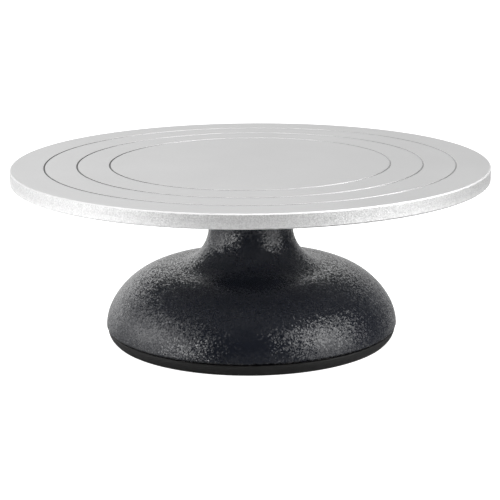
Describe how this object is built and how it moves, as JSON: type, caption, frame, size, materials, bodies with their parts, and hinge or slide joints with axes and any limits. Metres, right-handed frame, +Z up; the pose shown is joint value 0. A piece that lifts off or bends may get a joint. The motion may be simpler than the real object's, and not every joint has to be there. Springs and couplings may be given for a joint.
{
  "type": "cake turntable",
  "caption": "Revolving cake stand: a round grooved aluminium plate that spins freely on ball bearings in the neck of a heavy cast-iron base with a rubber sole.",
  "frame": {"origin": "on the worktop, in the middle of the rubber sole, on the axis that the plate turns about", "axes": "+Z up along the plate's axis; X and Y level, with the base's four webs and sole screws on them"},
  "size_m": [0.3, 0.3, 0.112],
  "materials": {
    "plate_aluminium": "satin cast aluminium, turned on top, fine sandy grain on the rim",
    "spindle_steel": "turned steel",
    "screw_steel": "bright zinc plate",
    "spring_steel": "oiled spring steel",
    "bearing_steel": "ground bearing steel",
    "shield_steel": "pressed sheet steel",
    "ball_steel": "polished bearing steel",
    "cage_nylon": "natural nylon",
    "base_iron": "blue-black textured powder coat, semi-gloss",
    "seal_felt": "pressed wool felt",
    "cap_plastic": "moulded black plastic",
    "sole_steel": "zinc-plated sheet steel",
    "sole_rubber": "matt black rubber"
  },
  "bodies": {
    "base": {"base_casting": "base_iron", "felt_seal": "seal_felt", "upper_outer_ring": "bearing_steel", "upper_shields": "shield_steel", "lower_outer_ring": "bearing_steel", "lower_shields": "shield_steel", "housing_circlip": "spring_steel", "dust_cap": "cap_plastic", "sole_plate": "sole_steel", "rubber_sole": "sole_rubber", "sole_screws": "screw_steel", "sole_washers": "screw_steel"},
    "turntable": {"turntable_plate": "plate_aluminium", "spindle": "spindle_steel", "plate_screws": "screw_steel", "upper_inner_ring": "bearing_steel", "inner_spacer": "spindle_steel", "lower_inner_ring": "bearing_steel", "shaft_washer": "spring_steel", "shaft_circlip": "spring_steel"},
    "upper_ball_set": {"upper_balls": "ball_steel", "upper_cage": "cage_nylon"},
    "lower_ball_set": {"lower_balls": "ball_steel", "lower_cage": "cage_nylon"}
  },
  "joints": [
    {"name": "plate_spin", "type": "hinge", "parent": "base", "child": "turntable", "pos_m": [0, 0, 0.0615], "axis": [0, 0, 1], "continuous": true},
    {"name": "upper_cage_orbit", "type": "hinge", "parent": "base", "child": "upper_ball_set", "pos_m": [0, 0, 0.076], "axis": [0, 0, 1], "continuous": true},
    {"name": "lower_cage_orbit", "type": "hinge", "parent": "base", "child": "lower_ball_set", "pos_m": [0, 0, 0.0365], "axis": [0, 0, 1], "continuous": true}
  ],
  "couplings": [
    {"joint": "upper_cage_orbit", "follows": "plate_spin", "ratio": 0.38},
    {"joint": "lower_cage_orbit", "follows": "plate_spin", "ratio": 0.38}
  ]
}
